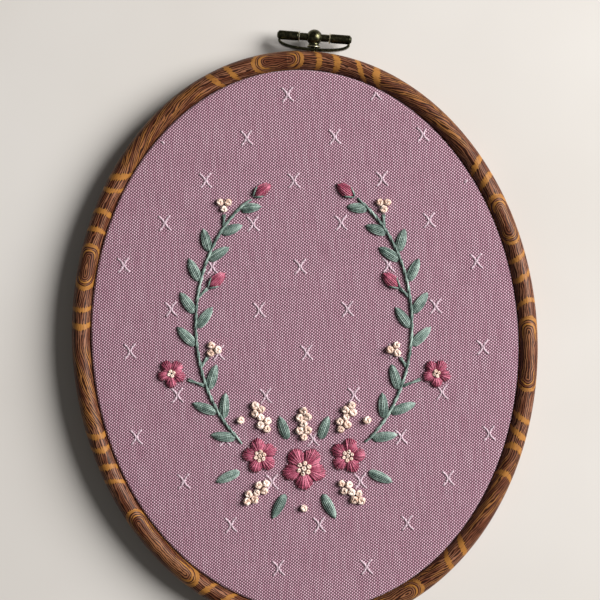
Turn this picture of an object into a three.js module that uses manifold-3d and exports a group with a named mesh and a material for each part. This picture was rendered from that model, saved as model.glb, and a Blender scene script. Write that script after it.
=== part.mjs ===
// Hoop embroidery: an oval flexible hoop with cloth stretched in it, a stitched wreath, and a hanger.
// Millimetres, +Z up. The hoop lies face up on a surface, its hanger towards +Y.
import * as THREE from "three";
import { mergeVertices } from "three/addons/utils/BufferGeometryUtils.js";
import Module from "manifold-3d";

const wasm = await Module();
wasm.setup();

// Driving dimensions of the hoop. Offsets are measured outwards from the edge of the visible cloth.
const CLOTH_HALF_WIDTH = 53.4; // half of the visible cloth, side to side
const CLOTH_HALF_HEIGHT = 67.6; // half of the visible cloth, top to bottom
const GAP = 0.3; // clearance between pieces that touch
const OVAL_STEPS = 80;

const RING_WIDTH = 4.8;
const RING_HEIGHT = 8;
const RING_CROWN = 2.6; // height of the rounded top of the outer ring
const RING_FOOT = 0.6; // rounding at the outer ring's base
const RING_INNER_OFFSET = GAP / 2;
const RING_OUTER_OFFSET = RING_INNER_OFFSET + RING_WIDTH;

const SHEET = 1; // thickness of the cloth with its stretched nap
const FACE_Z = 6.8; // the cloth's upper face
const CLOTH_OFFSET = -GAP / 2; // outer face of the cloth where it goes down between the rings
const CLOTH_ROLL = 1.1; // how far the cloth rolls down over the inner ring's edge
const CLOTH_END_Z = 0.8; // where the cloth is trimmed, just above the surface
const FLAT_MARGIN = 9; // outside this margin the cloth's rows follow the ring

const INNER_WIDTH = 3;
const INNER_HEIGHT = FACE_Z - SHEET - GAP;
const INNER_OFFSET = CLOTH_OFFSET - SHEET - GAP; // outer face of the inner ring
const INNER_CHAMFER = 0.5;

// The hanger, in its own frame: x along the ring, y out from the ring's wall, z up.
const HANGER_TURN = 6.2; // degrees from the oval's end, to the right
const HANGER_Z = 4;
const BAR_Y = 3.75;
const BARREL_RADIUS = 1.15;
const BARREL_IN = 4;
const BARREL_OUT = 9.1;
const NECK_RADIUS = 0.95;
const NECK_IN = 1.9;
const COLLAR_RADIUS = 1.3;
const COLLAR_WIDTH = 0.3;
const BALL_RADIUS = 1.8;
const POST_FOOT_RADIUS = 1.55;
const POST_WAIST_RADIUS = 0.95;
const SHANK_RADIUS = 0.6;
const SHANK_DEPTH = 2;
const STRAP_THICK = 0.55;
const STRAP_WIDTH = 2.2;
const STRAP_BOW = 0.4; // how soon the strap leaves the ring's wall
const STRAP_END_Y = BAR_Y - BARREL_RADIUS - GAP; // the strap's ends carry the barrels
const EDGE_BREAK = 0.2; // softening of the barrels' ends
const ROUND_STEPS = 14;

// The stitched wreath, drawn upright in the hanger's direction.
const DESIGN_TURN = -3.4; // degrees, against the oval's axis
const DESIGN_LIFT = 4; // the wreath's middle above the oval's
const WREATH_HALF_WIDTH = 27;
const WREATH_HALF_HEIGHT = 36;
const STEM_FROM = 34; // degrees from the wreath's lowest point
const STEM_TO = 151;
const STEM_RADIUS = 0.55;
const STEM_STEPS = 32;
const STALK_STEPS = 3;
const ROUTE_POINTS = 12;
const LEAF_WIDTH = 2.5;
const LEAF_HEIGHT = 0.75;
const LEAF_STEPS = 10;
const LEAF_SPREAD = 38; // degrees between a leaf and its stem
const PETAL_HEIGHT = 1.15;
const PETALS = 5;
const PETAL_STEPS = 6;
const WAIST = 0.62; // reach of the notch between two petals, as a share of the blossom's radius
const MIDDLE_LIFT = 0.5; // a blossom's middle, as a share of its petals' height
const CENTRE_HEIGHT = 0.9;
const CENTRE_REACH = 0.3; // of the blossom's radius
const CENTRE_KNOTS = 6;
const CENTRE_STEPS = 12;
const BUD_WIDTH = 2.9;
const BUD_HEIGHT = 1.1;
const BUD_TAPER = 0.35;
const BUD_STEPS = 12;
const KNOT_RADIUS = 1.15;
const KNOT_HEIGHT = 1.25;
const KNOT_STEPS = 8;

// Blossoms at the foot of the wreath: degrees from its lowest point, and radius.
const FOOT_BLOSSOMS = {
  middle: { turn: 0, radius: 5.8 },
  left: { turn: -24, radius: 4.7 },
  right: { turn: 24, radius: 4.7 },
};

// What lies round the foot blossoms, given for the right-hand side and mirrored to the left. Headings
// are in degrees from +X. A row on the middle line, at x 0, is there once.
const FOOT_LEAVES = [
  { name: "low", x: 4.4, y: -42, heading: -62, length: 8 },
  { name: "high", x: 3.9, y: -29.2, heading: 70, length: 7 },
  { name: "side", x: 15.6, y: -36.6, heading: -24, length: 7.6 },
];
const KNOT_SPRAYS = [
  { name: "middle", x: 0, y: -28.2, heading: 90 },
  { name: "high", x: 9.2, y: -26.2, heading: 64 },
  { name: "low", x: 9.4, y: -39.8, heading: -42 },
];
const SINGLE_KNOTS = [
  { name: "low", x: 0, y: -46, heading: 0 },
  { name: "side", x: 15.8, y: -24, heading: 0 },
];

// The knots of one spray, in knot radii along and across its heading.
const SPRAY_KNOTS = [
  { along: 0, across: 0 },
  { along: 1.4, across: 0.9 },
  { along: 1.5, across: -0.85 },
  { along: 2.9, across: 0.1 },
  { along: 4.2, across: 0.9 },
  { along: 4.4, across: -0.8 },
  { along: 5.7, across: 0.1 },
];

// What grows from each stem: how far along it (0 to 1), outwards 1 or inwards -1, and its length.
const STEM_LEAVES = [
  { along: 0.03, side: 1, length: 7.4 },
  { along: 0.12, side: -1, length: 7.4 },
  { along: 0.15, side: 1, length: 7.8 },
  { along: 0.24, side: -1, length: 7.6 },
  { along: 0.4, side: 1, length: 7.6 },
  { along: 0.46, side: -1, length: 7.4 },
  { along: 0.51, side: 1, length: 7.4 },
  { along: 0.62, side: 1, length: 7.2 },
  { along: 0.7, side: -1, length: 7 },
  { along: 0.73, side: 1, length: 6.8 },
  { along: 0.81, side: -1, length: 6.4 },
  { along: 0.93, side: -1, length: 6 },
];
const STALKS = [
  { name: "side_blossom", along: 0.26, side: 1, spread: 50, length: 5.4, radius: 3.8 },
  { name: "low_knots", along: 0.33, side: -1, spread: 48, length: 3.2 },
  { name: "side_bud", along: 0.57, side: -1, spread: 40, length: 3.6, budLength: 5.6 },
  { name: "high_knots", along: 0.84, side: 1, spread: 34, length: 3.4 },
  { name: "tip_bud", along: 1, side: 1, spread: 0, length: 0.6, budLength: 5.4 },
];

const LOOKS = {
  ring: { color: 0x6b3a1c, roughness: 0.45, metalness: 0 },
  innerRing: { color: 0x4a2c1a, roughness: 0.5, metalness: 0 },
  cloth: { color: 0xa8707f, roughness: 0.95, metalness: 0 },
  bronze: { color: 0x2b2a1e, roughness: 0.3, metalness: 0.9 },
  green: { color: 0x5d7f6e, roughness: 0.7, metalness: 0 },
  rose: { color: 0x98405a, roughness: 0.65, metalness: 0 },
  cream: { color: 0xecd3c0, roughness: 0.75, metalness: 0 },
};

const radians = THREE.MathUtils.degToRad;

function piece(name, geometry, look) {
  const mesh = new THREE.Mesh(geometry, new THREE.MeshStandardMaterial(LOOKS[look]));
  mesh.name = name;
  return mesh;
}

// A closed three.js geometry as a solid for joining and cutting, and back again.
function solidOf(geometry) {
  const bare = new THREE.BufferGeometry();
  const loose = geometry.index ? geometry.toNonIndexed() : geometry;
  bare.setAttribute("position", loose.getAttribute("position"));
  const merged = mergeVertices(bare, 1e-4);
  const mesh = new wasm.Mesh({
    numProp: 3,
    vertProperties: merged.attributes.position.array,
    triVerts: new Uint32Array(merged.index.array),
  });
  return new wasm.Manifold(mesh);
}

function geometryOf(solid) {
  const mesh = solid.getMesh();
  const geometry = new THREE.BufferGeometry();
  geometry.setAttribute("position", new THREE.BufferAttribute(mesh.vertProperties, 3));
  geometry.setIndex(new THREE.BufferAttribute(mesh.triVerts, 1));
  return geometry.toNonIndexed();
}

function joined(geometries) {
  return geometryOf(geometries.map(solidOf).reduce((all, next) => all.add(next)));
}

// Moves every vertex of a geometry by a function that is given its place and changes it.
function warped(geometry, move) {
  const position = geometry.getAttribute("position");
  const point = new THREE.Vector3();
  for (let i = 0; i < position.count; i++) {
    point.fromBufferAttribute(position, i);
    move(point);
    position.setXYZ(i, point.x, point.y, point.z);
  }
  return geometry;
}

// A point of the oval: the turn goes clockwise from its top, the offset outwards.
function ovalPoint(turn, offset) {
  const edge = new THREE.Vector2(
    CLOTH_HALF_WIDTH * Math.sin(turn),
    CLOTH_HALF_HEIGHT * Math.cos(turn),
  );
  const outwards = new THREE.Vector2(
    CLOTH_HALF_HEIGHT * Math.sin(turn),
    CLOTH_HALF_WIDTH * Math.cos(turn),
  ).normalize();
  return { outwards, place: edge.addScaledVector(outwards, offset) };
}

// A closed section of [offset, z] pairs carried round the oval. It is turned on a lathe of a nominal
// radius first, and each point is then set at its own offset from the oval.
const NOMINAL_RADIUS = 60;
function ovalTurned(section) {
  const profile = section.map(([offset, z]) => new THREE.Vector2(NOMINAL_RADIUS + offset, z));
  return warped(new THREE.LatheGeometry(profile, OVAL_STEPS), (p) => {
    const turn = Math.atan2(p.x, -p.z);
    const offset = Math.hypot(p.x, p.z) - NOMINAL_RADIUS;
    const rim = Math.max(offset, -FLAT_MARGIN);
    const { place } = ovalPoint(turn, rim);
    const share = (offset + NOMINAL_RADIUS) / (rim + NOMINAL_RADIUS);
    p.set(place.x * share, place.y * share, p.y);
  });
}

// Points of a quarter of an ellipse, from its side to its top.
function quarter(centreOffset, centreZ, wide, high, steps) {
  const points = [];
  for (let i = 0; i <= steps; i++) {
    const a = (i / steps) * (Math.PI / 2);
    points.push([centreOffset + wide * Math.cos(a), centreZ + high * Math.sin(a)]);
  }
  return points;
}

function outerRing() {
  const middle = (RING_INNER_OFFSET + RING_OUTER_OFFSET) / 2;
  const half = RING_WIDTH / 2;
  const crown = quarter(middle, RING_HEIGHT - RING_CROWN, half, RING_CROWN, 4);
  const inwards = quarter(middle, RING_HEIGHT - RING_CROWN, -half, RING_CROWN, 4).reverse().slice(1);
  const section = [
    [RING_INNER_OFFSET + RING_FOOT, 0],
    [RING_OUTER_OFFSET - RING_FOOT, 0],
    [RING_OUTER_OFFSET, RING_FOOT],
    ...crown,
    ...inwards,
    [RING_INNER_OFFSET, RING_FOOT],
    [RING_INNER_OFFSET + RING_FOOT, 0],
  ];
  const drilled = solidOf(ovalTurned(section)).subtract(solidOf(atHanger(shankHole())));
  return piece("outer_ring", geometryOf(drilled), "ring");
}

function innerRing() {
  const inside = INNER_OFFSET - INNER_WIDTH;
  const section = [
    [inside, 0],
    [INNER_OFFSET, 0],
    [INNER_OFFSET, INNER_HEIGHT - INNER_CHAMFER],
    [INNER_OFFSET - INNER_CHAMFER, INNER_HEIGHT],
    [inside + INNER_CHAMFER, INNER_HEIGHT],
    [inside, INNER_HEIGHT - INNER_CHAMFER],
    [inside, 0],
  ];
  return piece("inner_ring", ovalTurned(section), "innerRing");
}

// One sheet: flat over the inner ring, rolled over its edge and carried down between the rings.
function cloth() {
  const centre = -NOMINAL_RADIUS;
  const under = FACE_Z - SHEET;
  const inside = CLOTH_OFFSET - SHEET;
  const roll = quarter(CLOTH_OFFSET - CLOTH_ROLL, FACE_Z - CLOTH_ROLL, CLOTH_ROLL, CLOTH_ROLL, 3);
  const section = [
    [centre, under],
    [-FLAT_MARGIN, under],
    [inside - CLOTH_ROLL / 4, under],
    [inside, under - CLOTH_ROLL / 4],
    [inside, CLOTH_END_Z],
    [CLOTH_OFFSET, CLOTH_END_Z],
    ...roll,
    [-FLAT_MARGIN, FACE_Z],
    [centre, FACE_Z],
  ];
  return piece("cloth", ovalTurned(section), "cloth");
}

// Places a geometry made in the hanger's frame at the hanger's seat on the ring.
function atHanger(geometry) {
  const { outwards, place } = ovalPoint(radians(HANGER_TURN), RING_OUTER_OFFSET);
  const seat = new THREE.Matrix4().makeRotationZ(Math.atan2(outwards.y, outwards.x) - Math.PI / 2);
  seat.setPosition(place.x, place.y, HANGER_Z);
  return geometry.applyMatrix4(seat);
}

// Room for the post's shank, half of its length on each side of the ring's wall.
function shankHole() {
  const radius = SHANK_RADIUS + GAP;
  return new THREE.CylinderGeometry(radius, radius, 2 * (SHANK_DEPTH + GAP), ROUND_STEPS);
}

// Ball, waist, foot and shank in one turning, its axis out from the ring's wall.
function hangerPost() {
  const footY = GAP + STRAP_THICK + GAP;
  const waistY = BAR_Y - BALL_RADIUS * 0.85;
  const ballStep = 15;
  const profile = [
    [0, -SHANK_DEPTH],
    [SHANK_RADIUS, -SHANK_DEPTH],
    [SHANK_RADIUS, footY],
    [POST_FOOT_RADIUS, footY],
    [POST_WAIST_RADIUS, waistY],
  ];
  for (let a = -45; a < 90; a += ballStep) {
    profile.push([BALL_RADIUS * Math.cos(radians(a)), BAR_Y + BALL_RADIUS * Math.sin(radians(a))]);
  }
  profile.push([0, BAR_Y + BALL_RADIUS]);
  const points = profile.map(([radius, y]) => new THREE.Vector2(radius, y));
  return piece("hanger_post", atHanger(new THREE.LatheGeometry(points, ROUND_STEPS)), "bronze");
}

// Neck, collar and barrel in one turning, its axis along the ring.
function hangerBarrel(name, side) {
  const profile = [
    [0, NECK_IN + GAP],
    [NECK_RADIUS, NECK_IN + GAP],
    [NECK_RADIUS, BARREL_IN - COLLAR_WIDTH],
    [COLLAR_RADIUS, BARREL_IN - COLLAR_WIDTH],
    [COLLAR_RADIUS, BARREL_IN],
    [BARREL_RADIUS, BARREL_IN + EDGE_BREAK / 2],
    [BARREL_RADIUS, BARREL_OUT - EDGE_BREAK],
    [BARREL_RADIUS - EDGE_BREAK, BARREL_OUT],
    [0, BARREL_OUT],
  ];
  const points = profile.map(([radius, x]) => new THREE.Vector2(radius, x));
  const turned = new THREE.LatheGeometry(points, ROUND_STEPS).rotateZ(-side * (Math.PI / 2));
  return piece(name, atHanger(turned.translate(0, BAR_Y, 0)), "bronze");
}

// A bowed strip: its middle lies on the ring and its ends come up under the barrels' ends.
function hangerStrap() {
  const inEnd = BARREL_OUT - STRAP_THICK;
  const top = GAP + STRAP_THICK;
  const strip = new THREE.Shape();
  strip.moveTo(-BARREL_OUT, STRAP_END_Y);
  strip.bezierCurveTo(-BARREL_OUT, GAP + STRAP_BOW, -BARREL_OUT / 2, GAP, 0, GAP);
  strip.bezierCurveTo(BARREL_OUT / 2, GAP, BARREL_OUT, GAP + STRAP_BOW, BARREL_OUT, STRAP_END_Y);
  strip.lineTo(inEnd, STRAP_END_Y);
  strip.bezierCurveTo(inEnd, top + STRAP_BOW, inEnd / 2, top, 0, top);
  strip.bezierCurveTo(-inEnd / 2, top, -inEnd, top + STRAP_BOW, -inEnd, STRAP_END_Y);
  const flat = new THREE.ExtrudeGeometry(strip, {
    depth: STRAP_WIDTH,
    bevelEnabled: false,
    curveSegments: 8,
  });
  flat.translate(0, 0, -STRAP_WIDTH / 2);
  const strap = geometryOf(solidOf(flat).subtract(solidOf(shankHole())));
  return piece("hanger_strap", atHanger(strap), "bronze");
}

// A low mound on a flat base. It starts as a disc of radius 1 whose rows rise as listed, and shape
// gives each point's place from its place on the disc.
const MOUND_ROWS = [
  { reach: 1, rise: 0 },
  { reach: 0.97, rise: 0.5 },
  { reach: 0.72, rise: 0.9 },
  { reach: 0.36, rise: 1 },
];
function mound(height, steps, shape) {
  const profile = [new THREE.Vector2(0, 0)];
  MOUND_ROWS.forEach(({ reach, rise }) => profile.push(new THREE.Vector2(reach, rise)));
  profile.push(new THREE.Vector2(0, 1));
  return warped(new THREE.LatheGeometry(profile, steps), (p) => {
    const placed = shape(p.x, p.z, p.y);
    p.set(placed.x, placed.y, p.y * height * (placed.lift ?? 1));
  });
}

// A leaf from its base at the origin to its tip along +X, pointed at both ends.
function leafAt(x, y, heading, length) {
  const leaf = mound(LEAF_HEIGHT, LEAF_STEPS, (u, v) => ({
    x: ((v + 1) * length) / 2,
    y: (u * Math.sqrt(Math.max(1 - v * v, 0.02)) * LEAF_WIDTH) / 2,
  }));
  return leaf.rotateZ(radians(heading)).translate(x, y, 0);
}

// A bud is a fuller drop, widest near its base.
function budAt(x, y, heading, length) {
  const bud = mound(BUD_HEIGHT, BUD_STEPS, (u, v) => ({
    x: ((v + 1) * length) / 2,
    y: (u * (1 - BUD_TAPER * v) * BUD_WIDTH) / 2,
  }));
  return bud.rotateZ(radians(heading)).translate(x, y, 0);
}

// Five round petals about a low, flat middle.
function petalsAt(x, y, turn, radius) {
  const middle = MOUND_ROWS.at(-1).reach;
  const flower = mound(PETAL_HEIGHT, PETAL_STEPS * PETALS, (u, v) => {
    const a = Math.atan2(u, v);
    const lobe = Math.pow(Math.abs(Math.cos((a * PETALS) / 2)), 0.7);
    const reach = Math.hypot(u, v);
    const out = reach * radius * (WAIST + (1 - WAIST) * lobe);
    const rise = THREE.MathUtils.clamp(reach / middle - 1, 0, 1);
    const lift = MIDDLE_LIFT + (1 - MIDDLE_LIFT) * lobe * rise;
    return { x: out * Math.cos(a), y: out * Math.sin(a), lift };
  });
  return flower.rotateZ(radians(turn)).translate(x, y, 0);
}

// The cluster of small knots in a blossom's middle.
function centreAt(x, y, radius) {
  const cluster = mound(CENTRE_HEIGHT, CENTRE_STEPS, (u, v) => {
    const a = Math.atan2(u, v);
    const out = Math.hypot(u, v) * radius * (0.85 + 0.15 * Math.cos(CENTRE_KNOTS * a));
    return { x: out * Math.cos(a), y: out * Math.sin(a) };
  });
  return cluster.translate(x, y, PETAL_HEIGHT * MIDDLE_LIFT + GAP);
}

// A French knot: a round bead with a dimple.
function knotAt(x, y) {
  const profile = [
    [0, 0],
    [0.75, 0],
    [1, 0.4],
    [0.8, 0.9],
    [0.45, 1],
    [0, 0.78],
  ];
  const points = profile.map(([reach, rise]) => new THREE.Vector2(reach * KNOT_RADIUS, rise * KNOT_HEIGHT));
  return new THREE.LatheGeometry(points, KNOT_STEPS).rotateX(Math.PI / 2).translate(x, y, 0);
}

// Three knots that touch.
function knotTrioAt(x, y, heading) {
  const spread = KNOT_RADIUS * 0.98;
  const knots = [60, 180, 300].map((turn) => {
    const knot = stepFrom({ x, y }, heading + turn, spread);
    return knotAt(knot.x, knot.y);
  });
  return joined(knots);
}

// A tapering spray of knots that touch.
function spray(name, x, y, heading) {
  const start = { x, y };
  const knots = SPRAY_KNOTS.map(({ along, across }) => {
    const side = stepFrom(start, heading + 90, across * KNOT_RADIUS);
    const knot = stepFrom(side, heading, along * KNOT_RADIUS);
    return knotAt(knot.x, knot.y);
  });
  return piece(name, joined(knots), "cream");
}

// A point of the wreath's oval, with the heading away from the wreath's foot. hand is 1 right, -1 left.
function wreathPoint(hand, degrees) {
  const a = radians(-90 + hand * degrees);
  const x = WREATH_HALF_WIDTH * Math.cos(a);
  const y = WREATH_HALF_HEIGHT * Math.sin(a);
  const heading = Math.atan2(
    hand * WREATH_HALF_HEIGHT * Math.cos(a),
    -hand * WREATH_HALF_WIDTH * Math.sin(a),
  );
  return { x, y, heading: THREE.MathUtils.radToDeg(heading) };
}

function stemPoint(hand, along) {
  return wreathPoint(hand, STEM_FROM + along * (STEM_TO - STEM_FROM));
}

// Thread laid along a list of points, as a round cord that lies on the base plane.
function threadAlong(points, steps) {
  const section = new THREE.Shape();
  section.absarc(0, 0, STEM_RADIUS, 0, 2 * Math.PI);
  const path = new THREE.CatmullRomCurve3(points.map((p) => new THREE.Vector3(p.x, p.y, STEM_RADIUS)));
  return new THREE.ExtrudeGeometry(section, {
    steps,
    curveSegments: 3,
    bevelEnabled: false,
    extrudePath: path,
  });
}

function stepFrom(start, heading, distance) {
  return {
    x: start.x + distance * Math.cos(radians(heading)),
    y: start.y + distance * Math.sin(radians(heading)),
    heading,
  };
}

// Where a stalk starts and ends on one hand's stem.
function stalkRun(hand, row) {
  const start = stemPoint(hand, row.along);
  const heading = start.heading - hand * row.side * row.spread;
  return { start, end: stepFrom(start, heading, row.length), heading };
}

// One stem with its stalks and leaves, all in the same green thread, fused.
function sprig(name, hand) {
  const route = [];
  for (let i = 0; i <= ROUTE_POINTS; i++) {
    route.push(stemPoint(hand, i / ROUTE_POINTS));
  }
  const threads = [threadAlong(route, STEM_STEPS)];
  STALKS.forEach((row) => {
    const { start, end } = stalkRun(hand, row);
    if (row.spread > 0) threads.push(threadAlong([start, end], STALK_STEPS));
  });
  STEM_LEAVES.forEach(({ along, side, length }) => {
    const start = stemPoint(hand, along);
    threads.push(leafAt(start.x, start.y, start.heading - hand * side * LEAF_SPREAD, length));
  });
  return piece(name, joined(threads), "green");
}

function blossom(name, middle, turn, radius) {
  return [
    piece(`${name}_petals`, petalsAt(middle.x, middle.y, turn, radius), "rose"),
    piece(`${name}_centre`, centreAt(middle.x, middle.y, radius * CENTRE_REACH), "cream"),
  ];
}

// What one hand's stalks carry at their ends: a blossom, a bud or three knots.
function stalkEnds(hand, word) {
  const halfPetal = 180 / PETALS;
  return STALKS.flatMap((row) => {
    const { end, heading } = stalkRun(hand, row);
    const name = `${row.name}_${word}`;
    if (row.radius) {
      const middle = stepFrom(end, heading, row.radius * 0.95 + GAP);
      return blossom(name, middle, heading + halfPetal, row.radius);
    }
    if (row.budLength) {
      const base = stepFrom(end, heading, GAP);
      return piece(name, budAt(base.x, base.y, heading, row.budLength), "rose");
    }
    const middle = stepFrom(end, heading, KNOT_RADIUS * 1.7 + GAP);
    return piece(name, knotTrioAt(middle.x, middle.y, heading), "cream");
  });
}

// A table's rows on both hands, each with its node's name ending.
function onBothHands(rows) {
  return rows.flatMap((row) => {
    if (row.x === 0) return { ...row, ending: row.name };
    return [
      { ...row, ending: `${row.name}_right` },
      { ...row, x: -row.x, heading: 180 - row.heading, ending: `${row.name}_left` },
    ];
  });
}

function wreath() {
  const group = new THREE.Group();
  group.add(sprig("sprig_left", -1), ...stalkEnds(-1, "left"));
  group.add(sprig("sprig_right", 1), ...stalkEnds(1, "right"));
  onBothHands(FOOT_LEAVES).forEach(({ ending, x, y, heading, length }) => {
    group.add(piece(`leaf_${ending}`, leafAt(x, y, heading, length), "green"));
  });
  onBothHands(KNOT_SPRAYS).forEach(({ ending, x, y, heading }) => {
    group.add(spray(`spray_${ending}`, x, y, heading));
  });
  onBothHands(SINGLE_KNOTS).forEach(({ ending, x, y }) => {
    group.add(piece(`knot_${ending}`, knotAt(x, y), "cream"));
  });
  Object.entries(FOOT_BLOSSOMS).forEach(([word, { turn, radius }]) => {
    group.add(...blossom(`foot_blossom_${word}`, wreathPoint(1, turn), turn - 90, radius));
  });
  group.rotation.z = radians(DESIGN_TURN);
  group.position.set(0, DESIGN_LIFT, FACE_Z + GAP);
  return group;
}

const hoop = new THREE.Group();
hoop.add(
  outerRing(),
  innerRing(),
  cloth(),
  hangerStrap(),
  hangerPost(),
  hangerBarrel("hanger_barrel_left", -1),
  hangerBarrel("hanger_barrel_right", 1),
  wreath(),
);

// The part's origin is the middle of its outline, on the surface that it lies on.
const extent = new THREE.Box3().setFromObject(hoop, true);
const middle = extent.getCenter(new THREE.Vector3());
hoop.position.set(-middle.x, -middle.y, -extent.min.z);

export default hoop;
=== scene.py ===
# %% [markdown]
# # A hoop embroidery
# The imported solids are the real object's pieces at their real size: two rings, a cloth, a small metal
# hanger and a stitched wreath. They are plain. In this lesson each one gets the form and the finish
# that the eye sees: a printed grain on the ring, a weave in the cloth, and thread in the stitches.

# %% Load the solids
import math
import random

import bpy
import numpy as np
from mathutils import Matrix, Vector


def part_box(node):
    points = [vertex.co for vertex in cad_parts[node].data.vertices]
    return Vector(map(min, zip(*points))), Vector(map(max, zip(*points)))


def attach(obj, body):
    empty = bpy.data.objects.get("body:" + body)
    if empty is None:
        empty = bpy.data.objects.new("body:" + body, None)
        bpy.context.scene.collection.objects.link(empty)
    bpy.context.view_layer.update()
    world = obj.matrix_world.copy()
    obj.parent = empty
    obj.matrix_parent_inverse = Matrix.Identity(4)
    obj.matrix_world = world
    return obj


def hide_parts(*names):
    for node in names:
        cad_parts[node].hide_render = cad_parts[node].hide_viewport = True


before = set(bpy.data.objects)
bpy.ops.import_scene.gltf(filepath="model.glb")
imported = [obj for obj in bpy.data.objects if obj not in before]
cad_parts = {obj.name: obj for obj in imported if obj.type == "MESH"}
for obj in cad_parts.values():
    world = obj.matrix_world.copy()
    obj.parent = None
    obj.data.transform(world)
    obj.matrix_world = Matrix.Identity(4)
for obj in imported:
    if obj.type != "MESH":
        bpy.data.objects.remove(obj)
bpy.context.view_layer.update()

MM = 0.001

# %% [markdown]
# ## The oval
# Both rings and the cloth follow one oval, the edge of the cloth that shows. A point of any piece is
# a turn, clockwise from the oval's top, and an offset outwards from that edge. The half width and half
# height come from the outer ring's solid, so nothing is fitted by eye.

# %% Measure the oval from the outer ring
GAP = 0.3 * MM
RING_WIDTH = 4.8 * MM
RING_IN = GAP / 2
RING_OUT = RING_IN + RING_WIDTH
OVAL_STEPS = 720
ring_low, ring_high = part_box("outer_ring")
CENTRE = (ring_low + ring_high) / 2
HALF_WIDTH = (ring_high.x - ring_low.x) / 2 - RING_OUT
HALF_HEIGHT = (ring_high.y - ring_low.y) / 2 - RING_OUT
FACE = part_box("cloth")[1].z


def oval_point(turn, offset):
    """The x and y of a place on the oval, with arrays or single numbers."""
    across, up = np.sin(turn), np.cos(turn)
    length = np.hypot(HALF_HEIGHT * across, HALF_WIDTH * up)
    x = HALF_WIDTH * across + offset * HALF_HEIGHT * across / length
    y = HALF_HEIGHT * up + offset * HALF_WIDTH * up / length
    return x + CENTRE.x, y + CENTRE.y


def arc_lengths(steps):
    """How far round the cloth's edge each of the evenly spaced turns lies, with the whole way last."""
    x, y = oval_point(np.linspace(0, 2 * math.pi, steps + 1), 0)
    return np.concatenate([[0], np.cumsum(np.hypot(np.diff(x), np.diff(y)))])


PERIMETER = arc_lengths(OVAL_STEPS)[-1]
print("cloth edge in mm:", round(2 * HALF_WIDTH / MM, 1), "by", round(2 * HALF_HEIGHT / MM, 1))
print("way round in mm:", round(PERIMETER / MM, 1))

# %% [markdown]
# ## Helpers for working by hand
# An operator acts on everything that is selected, so each step starts by selecting nothing. A piece
# is closed by merging its doubled points, and its normals are then turned outwards.


# %% Select, close and settle a piece
def select_only(*objects):
    if bpy.context.object and bpy.context.object.mode != "OBJECT":
        bpy.ops.object.mode_set(mode="OBJECT")
    bpy.ops.object.select_all(action="DESELECT")
    for obj in objects:
        obj.select_set(True)
        bpy.context.view_layer.objects.active = obj


def close_mesh(obj, distance=0.002 * MM):
    select_only(obj)
    bpy.ops.object.mode_set(mode="EDIT")
    bpy.ops.mesh.select_all(action="SELECT")
    bpy.ops.mesh.remove_doubles(threshold=distance)
    bpy.ops.mesh.normals_make_consistent(inside=False)
    bpy.ops.object.mode_set(mode="OBJECT")


def settle(obj, node, material):
    """A finished piece rides on the one body and stands for its node."""
    obj.data.materials.clear()
    obj.data.materials.append(material)
    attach(obj, "root")
    if node:
        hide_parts(node)
    print(obj.name, "faces:", len(obj.data.polygons))
    return obj


# %% [markdown]
# ## Helpers for materials
# A material is a short chain of nodes. These helpers add a node, fill or link its sockets by name,
# and hand back its output, so that each finish below reads as a few lines of sums.


# %% Add nodes and link them
def linear(red, green, blue):
    """A colour as it looks on a screen, from 0 to 255, in the linear values that nodes use."""
    shares = [c / 255 for c in (red, green, blue)]
    return (*[s / 12.92 if s < 0.04 else ((s + 0.055) / 1.055) ** 2.4 for s in shares], 1)


def new_material(name, **uniform):
    material = bpy.data.materials.new(name)
    material.use_nodes = True
    shader = material.node_tree.nodes["Principled BSDF"]
    for socket, value in uniform.items():
        shader.inputs[socket.replace("_", " ")].default_value = value
    return material, material.node_tree, shader


def add_node(tree, kind, sockets, **settings):
    node = tree.nodes.new(kind)
    for name, value in settings.items():
        setattr(node, name, value)
    for name, value in sockets.items():
        if isinstance(value, bpy.types.NodeSocket):
            tree.links.new(value, node.inputs[name])
        else:
            node.inputs[name].default_value = value
    return node


def own_place(tree):
    """Where a point lies on its own piece, in metres."""
    return add_node(tree, "ShaderNodeTexCoord", {}).outputs["Object"]


def sums(tree, operation, *values):
    return add_node(tree, "ShaderNodeMath", dict(enumerate(values)), operation=operation).outputs[0]


def noise(tree, vector, scale, detail=2.0, roughness=0.5):
    sockets = {"Vector": vector, "Scale": scale, "Detail": detail, "Roughness": roughness}
    return add_node(tree, "ShaderNodeTexNoise", sockets).outputs["Fac"]


def blend_colours(tree, amount, first, second):
    node = add_node(tree, "ShaderNodeMix", {}, data_type="RGBA")
    for socket, value in ((0, amount), (6, first), (7, second)):
        if isinstance(value, bpy.types.NodeSocket):
            tree.links.new(value, node.inputs[socket])
        else:
            node.inputs[socket].default_value = value
    return node.outputs[2]


def ramp(tree, value, *stops):
    """Maps a value to colours: each stop is a place from 0 to 1 and a colour."""
    node = add_node(tree, "ShaderNodeValToRGB", {"Fac": value})
    elements = node.color_ramp.elements
    while len(elements) < len(stops):
        elements.new(0.5)
    for element, (place, colour) in zip(elements, stops):
        element.position = place
        element.color = colour
    return node.outputs["Color"]


def steps_between(tree, value, low, high):
    """0 below low, 1 above high, and smooth in between."""
    sockets = {"Value": value, "From Min": low, "From Max": high}
    return add_node(tree, "ShaderNodeMapRange", sockets, interpolation_type="SMOOTHSTEP").outputs[0]


def bump(tree, shader, height, distance, strength=1.0):
    sockets = {"Height": height, "Distance": distance, "Strength": strength}
    node = add_node(tree, "ShaderNodeBump", sockets)
    tree.links.new(node.outputs["Normal"], shader.inputs["Normal"])


print("material helpers:", [f.__name__ for f in (sums, noise, blend_colours, ramp, steps_between, bump)])

# %% [markdown]
# ## Rings and cloth as spun sections
# A hoop ring is moulded with one section all the way round, and the cloth follows the same oval. So
# each of them starts as a circle primitive whose points are set to the section. Spin carries it round,
# and every point is then moved from the round path to the oval at its own offset.


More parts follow.
